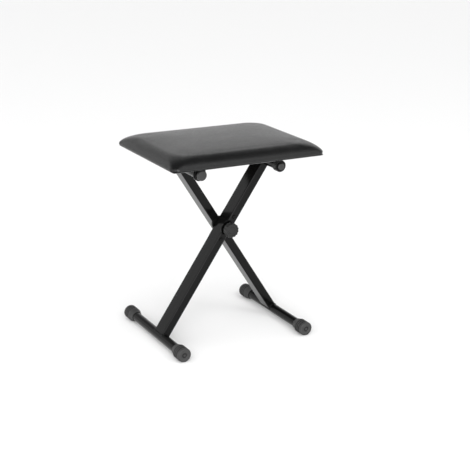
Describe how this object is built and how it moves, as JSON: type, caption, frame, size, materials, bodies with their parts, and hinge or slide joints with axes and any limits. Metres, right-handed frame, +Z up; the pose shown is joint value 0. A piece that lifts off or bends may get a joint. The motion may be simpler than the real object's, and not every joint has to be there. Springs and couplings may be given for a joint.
{
  "type": "folding keyboard bench",
  "caption": "Folding keyboard bench: padded rectangular seat on a crossed pair of rectangular steel tubes with foot bars, a clamp knob at the crossing and slide rails under the seat.",
  "frame": {"origin": "on the floor, midway between the two foot bars, at the middle of the bounding box's base", "axes": "+Z up, +X along the long side of the seat, -Y towards the side with the knob"},
  "size_m": [0.3902, 0.2902, 0.47],
  "materials": {
    "black_steel": "satin black powder coat",
    "zinc_steel": "bright zinc plate",
    "vinyl": "black leather-grain vinyl, soft sheen",
    "foam": "open-cell polyurethane foam",
    "plywood": "plain plywood",
    "rubber": "matt black rubber",
    "nylon": "black nylon",
    "grey_plastic": "dark grey moulded plastic",
    "knob_plastic": "black moulded plastic",
    "brass": "turned brass"
  },
  "bodies": {
    "seat": {"seat_board": "plywood", "seat_foam": "foam", "seat_cover": "vinyl", "cover_staples": "zinc_steel", "tee_nuts": "zinc_steel", "bracket_screws": "zinc_steel", "rail_screws": "zinc_steel", "hinge_bracket_front": "black_steel", "hinge_bracket_back": "black_steel", "hinge_bush_front": "nylon", "hinge_bush_back": "nylon", "slide_rail_front": "black_steel", "slide_rail_back": "black_steel"},
    "back_leg": {"back_leg_tube": "black_steel", "back_foot_bar": "black_steel", "back_foot_cap_front": "rubber", "back_foot_cap_back": "rubber", "hinge_tube": "black_steel", "hinge_tube_cap_front": "grey_plastic", "hinge_tube_cap_back": "grey_plastic", "back_pivot_sleeve": "black_steel", "back_lock_plate": "black_steel", "back_lock_screws": "black_steel", "pivot_bolt": "zinc_steel", "pivot_washer": "zinc_steel", "lock_spring": "zinc_steel"},
    "front_leg": {"front_leg_tube": "black_steel", "front_foot_bar": "black_steel", "front_foot_cap_front": "rubber", "front_foot_cap_back": "rubber", "slide_tube": "black_steel", "slide_inserts": "zinc_steel", "slide_washers": "black_steel", "slide_bolts": "zinc_steel", "front_pivot_sleeve": "black_steel", "front_lock_plate": "black_steel", "front_lock_screws": "black_steel"},
    "glides": {"glide_front": "nylon", "glide_back": "nylon"},
    "clamp": {"clamp_washer": "black_steel"},
    "knob": {"clamp_knob": "knob_plastic", "knob_insert": "brass", "knob_cap": "knob_plastic"}
  },
  "joints": [
    {"name": "fold", "type": "hinge", "parent": "seat", "child": "back_leg", "pos_m": [-0.1, 0, 0.413], "axis": [0, -1, 0], "range_deg": [0, 50.5]},
    {"name": "scissor", "type": "hinge", "parent": "back_leg", "child": "front_leg", "pos_m": [0, 0, 0.262], "axis": [0, 1, 0], "range_deg": [0, 101]},
    {"name": "glide_level", "type": "hinge", "parent": "front_leg", "child": "glides", "pos_m": [0.1, 0, 0.413], "axis": [0, -1, 0], "range_deg": [0, 50.5]},
    {"name": "clamp_release", "type": "slide", "parent": "front_leg", "child": "clamp", "axis": [0, -1, 0], "range_m": [0, 0.0025]},
    {"name": "knob_turn", "type": "hinge", "parent": "clamp", "child": "knob", "pos_m": [0, 0, 0.262], "axis": [0, -1, 0], "range_deg": [0, 720]}
  ],
  "couplings": [
    {"joint": "scissor", "follows": "fold", "ratio": 2},
    {"joint": "glide_level", "follows": "fold", "ratio": 1},
    {"joint": "clamp_release", "follows": "knob_turn", "m_per_rad": 0.00019894}
  ]
}
